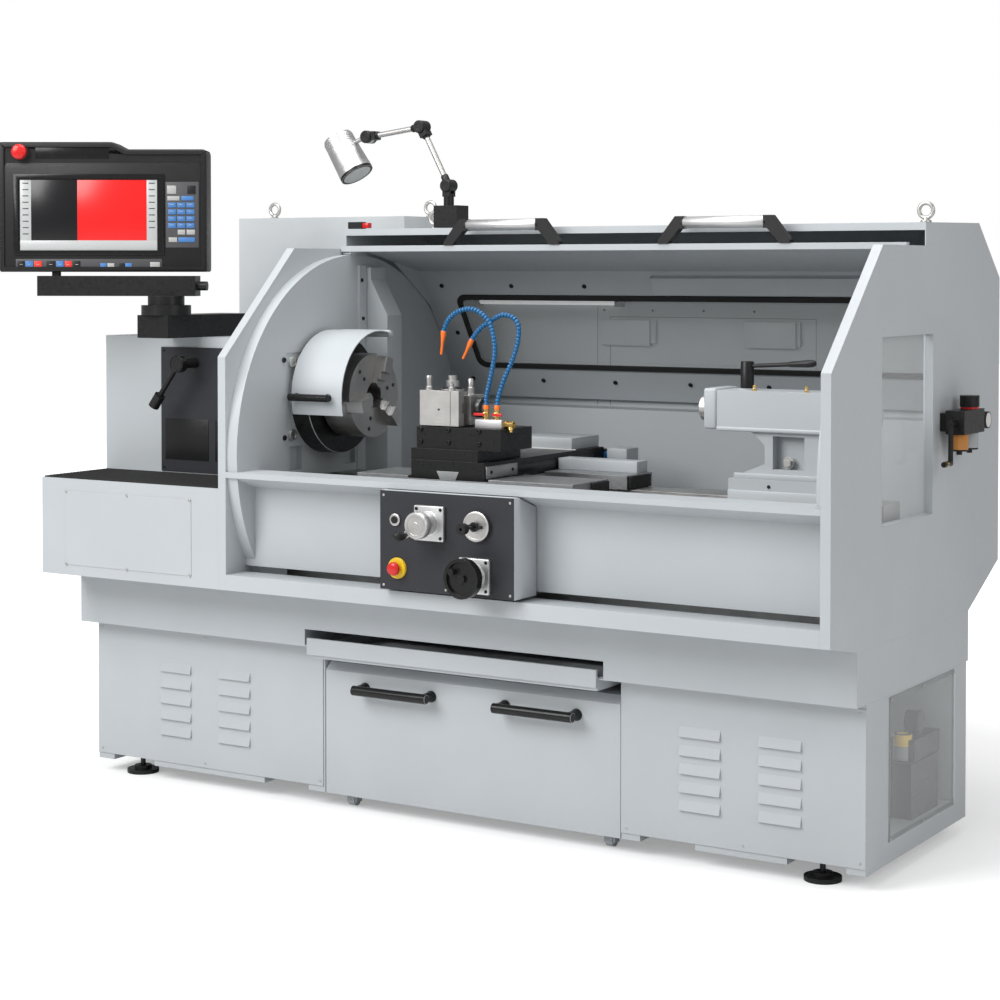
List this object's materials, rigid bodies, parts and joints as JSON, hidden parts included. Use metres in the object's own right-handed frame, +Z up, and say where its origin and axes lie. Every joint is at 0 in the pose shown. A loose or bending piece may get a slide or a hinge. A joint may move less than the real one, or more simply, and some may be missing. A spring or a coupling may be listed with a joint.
{
  "type": "cnc turning lathe",
  "caption": "Engine-style turning lathe with sliding hood, three-jaw chuck, carriage control box, tailstock, work lamp and swivelling control pendant.",
  "frame": {"origin": "middle of the machine's overall footprint on the floor", "axes": "+X from headstock to tailstock, -Y towards the operator, +Z up"},
  "size_m": [2.8646, 1.366, 2.055],
  "materials": {
    "grey_paint": "satin blue-grey enamel",
    "textured_grey": "light grey textured enamel",
    "dark_paint": "dark grey satin panel",
    "black_steel": "black oxide and black paint",
    "steel": "ground and turned steel",
    "cast": "machined cast iron",
    "black_plastic": "black moulded plastic",
    "rubber": "black ribbed rubber",
    "clear": "clear polycarbonate",
    "brass": "turned brass",
    "blue_plastic": "blue segmented hose",
    "red_plastic": "red stop button",
    "lamp_white": "frosted tube",
    "grey_plastic": "grey moulded plastic"
  },
  "bodies": {
    "frame": {"left_pedestal": "grey_paint", "right_pedestal": "grey_paint", "vent_covers": "grey_paint", "levelling_feet": "black_steel", "chip_pan": "grey_paint", "lathe_bed": "steel", "headstock": "grey_paint", "headstock_cover": "grey_paint", "range_panel": "dark_paint", "rubber_mat": "rubber", "left_cheek": "grey_paint", "right_cheek": "grey_paint", "side_windows": "clear", "front_panel": "grey_paint", "rear_enclosure": "grey_paint", "electrical_cabinet": "textured_grey", "lifting_eyebolts": "steel", "work_light": "lamp_white", "interlock_switch": "black_plastic", "lubricator": "black_steel", "air_regulator": "black_steel", "lamp_base": "black_steel", "pendant_arm": "black_steel", "drag_chain": "grey_plastic"},
    "tray": {"chip_tray": "grey_paint"},
    "tank": {"coolant_tank": "grey_paint"},
    "spindle": {"spindle_shaft": "steel", "chuck_body": "steel"},
    "jaw_1": {"chuck_jaw_1": "steel"},
    "jaw_2": {"chuck_jaw_2": "steel"},
    "jaw_3": {"chuck_jaw_3": "steel"},
    "guard": {"chuck_guard": "grey_paint"},
    "gear": {"gear_lever": "black_plastic"},
    "screw": {"z_screw": "steel"},
    "carriage": {"saddle": "cast", "control_box": "dark_paint"},
    "slide": {"cross_slide": "black_steel", "coolant_manifold": "brass", "coolant_hoses": "blue_plastic"},
    "post": {"toolpost": "steel"},
    "tailstock": {"tailstock_body": "grey_paint"},
    "quill": {"quill": "steel"},
    "quill_wheel": {"quill_handwheel": "steel"},
    "clamp_lever": {"tailstock_lever": "black_plastic"},
    "hood": {"hood": "grey_paint", "hood_window": "clear", "hood_handles": "black_plastic"},
    "lamp_low": {"lamp_lower_arm": "black_steel"},
    "lamp_high": {"lamp_upper_arm": "black_steel"},
    "lamp_shade": {"lamp_head": "steel"},
    "pendant_swing": {"pendant_swing_arm": "black_steel"},
    "pendant": {"pendant_housing": "black_plastic"},
    "pendant_stop": {"pendant_estop": "red_plastic"},
    "wheel_z": {"z_handwheel": "steel"},
    "wheel_x": {"x_handwheel": "black_plastic"},
    "jog_ring": {"jog_gimbal": "black_plastic"},
    "jog": {"jog_stick": "black_plastic"},
    "stop": {"carriage_estop": "red_plastic"},
    "start_button": {"cycle_button": "black_plastic"}
  },
  "joints": [
    {"name": "tray_pull", "type": "slide", "parent": "frame", "child": "tray", "axis": [0, -1, 0], "range_m": [0, 0.5]},
    {"name": "tank_roll", "type": "slide", "parent": "frame", "child": "tank", "axis": [0, -1, 0], "range_m": [0, 0.8]},
    {"name": "spindle_turn", "type": "hinge", "parent": "frame", "child": "spindle", "pos_m": [-0.4, -0.107, 1.213], "axis": [1, 0, 0], "continuous": true},
    {"name": "jaw_1_open", "type": "slide", "parent": "spindle", "child": "jaw_1", "axis": [0, 0.2588, 0.9659], "range_m": [0, 0.008]},
    {"name": "jaw_2_open", "type": "slide", "parent": "spindle", "child": "jaw_2", "axis": [0, -0.9659, -0.2588], "range_m": [0, 0.008]},
    {"name": "jaw_3_open", "type": "slide", "parent": "spindle", "child": "jaw_3", "axis": [0, 0.7071, -0.7071], "range_m": [0, 0.008]},
    {"name": "guard_lift", "type": "hinge", "parent": "frame", "child": "guard", "pos_m": [-0.4, -0.04674, 1.39846], "axis": [1, 0, 0], "range_deg": [-55, 0]},
    {"name": "gear_select", "type": "hinge", "parent": "frame", "child": "gear", "pos_m": [-0.905, -0.3, 1.303], "axis": [0, 1, 0], "range_deg": [-60, 60]},
    {"name": "screw_turn", "type": "hinge", "parent": "frame", "child": "screw", "pos_m": [0.4, -0.312, 0.82], "axis": [1, 0, 0], "continuous": true},
    {"name": "carriage_feed", "type": "slide", "parent": "frame", "child": "carriage", "axis": [1, 0, 0], "range_m": [-0.25, 0.34]},
    {"name": "cross_feed", "type": "slide", "parent": "carriage", "child": "slide", "axis": [0, 1, 0], "range_m": [-0.04, 0.2]},
    {"name": "post_turn", "type": "hinge", "parent": "slide", "child": "post", "pos_m": [0.06, -0.278, 1.2], "axis": [0, 0, 1], "range_deg": [-30, 30]},
    {"name": "tailstock_move", "type": "slide", "parent": "frame", "child": "tailstock", "axis": [1, 0, 0], "range_m": [-0.2, 0.02]},
    {"name": "quill_feed", "type": "slide", "parent": "tailstock", "child": "quill", "axis": [-1, 0, 0], "range_m": [0, 0.12]},
    {"name": "quill_wheel_turn", "type": "hinge", "parent": "tailstock", "child": "quill_wheel", "pos_m": [1.25, -0.107, 1.213], "axis": [-1, 0, 0], "continuous": true},
    {"name": "clamp_lever_turn", "type": "hinge", "parent": "tailstock", "child": "clamp_lever", "pos_m": [0.908, -0.107, 1.3], "axis": [0, 0, 1], "range_deg": [-60, 60]},
    {"name": "hood_roll", "type": "hinge", "parent": "frame", "child": "hood", "pos_m": [0, 0.048, 1.047], "axis": [1, 0, 0], "range_deg": [0, 90]},
    {"name": "lamp_shoulder", "type": "hinge", "parent": "frame", "child": "lamp_low", "pos_m": [-0.209, 0.113, 1.851], "axis": [0, 1, 0], "range_deg": [-10, 60]},
    {"name": "lamp_elbow", "type": "hinge", "parent": "lamp_low", "child": "lamp_high", "pos_m": [-0.308, 0.113, 2.035], "axis": [0, 1, 0], "range_deg": [-10, 60]},
    {"name": "lamp_tilt", "type": "hinge", "parent": "lamp_high", "child": "lamp_shade", "pos_m": [-0.51, 0.113, 2.01], "axis": [0, 1, 0], "range_deg": [-15, 40]},
    {"name": "pendant_swing", "type": "hinge", "parent": "frame", "child": "pendant_swing", "pos_m": [-0.94, -0.357, 1.5], "axis": [0, 0, 1], "range_deg": [-40, 60]},
    {"name": "pendant_turn", "type": "hinge", "parent": "pendant_swing", "child": "pendant", "pos_m": [-1.25591, -0.50297, 1.6], "axis": [0, 0, 1], "range_deg": [-45, 45]},
    {"name": "pendant_stop_press", "type": "slide", "parent": "pendant", "child": "pendant_stop", "axis": [-0.5284, 0.849, 0], "range_m": [0, 0.004]},
    {"name": "wheel_z_turn", "type": "hinge", "parent": "carriage", "child": "wheel_z", "pos_m": [0.185, -0.6, 0.903], "axis": [0, 1, 0], "continuous": true},
    {"name": "wheel_x_turn", "type": "hinge", "parent": "carriage", "child": "wheel_x", "pos_m": [0.331, -0.6, 0.77], "axis": [0, 1, 0], "continuous": true},
    {"name": "jog_tilt_up", "type": "hinge", "parent": "carriage", "child": "jog_ring", "pos_m": [0.338, -0.599, 0.904], "axis": [1, 0, 0], "range_deg": [-10, 10], "stiffness_Nm_per_rad": 0.1},
    {"name": "jog_tilt_side", "type": "hinge", "parent": "jog_ring", "child": "jog", "pos_m": [0.338, -0.599, 0.904], "axis": [0, 0, 1], "range_deg": [-10, 10], "stiffness_Nm_per_rad": 0.1},
    {"name": "stop_press", "type": "slide", "parent": "carriage", "child": "stop", "axis": [0, 1, 0], "range_m": [0, 0.004]},
    {"name": "start_press", "type": "slide", "parent": "carriage", "child": "start_button", "axis": [0, 1, 0], "range_m": [0, 0.003], "stiffness_N_per_m": 400}
  ],
  "couplings": [
    {"joint": "jaw_2_open", "follows": "jaw_1_open", "ratio": 1},
    {"joint": "jaw_3_open", "follows": "jaw_1_open", "ratio": 1},
    {"joint": "screw_turn", "follows": "carriage_feed", "rad_per_m": 628.32},
    {"joint": "quill_wheel_turn", "follows": "quill_feed", "rad_per_m": 1256.6}
  ]
}
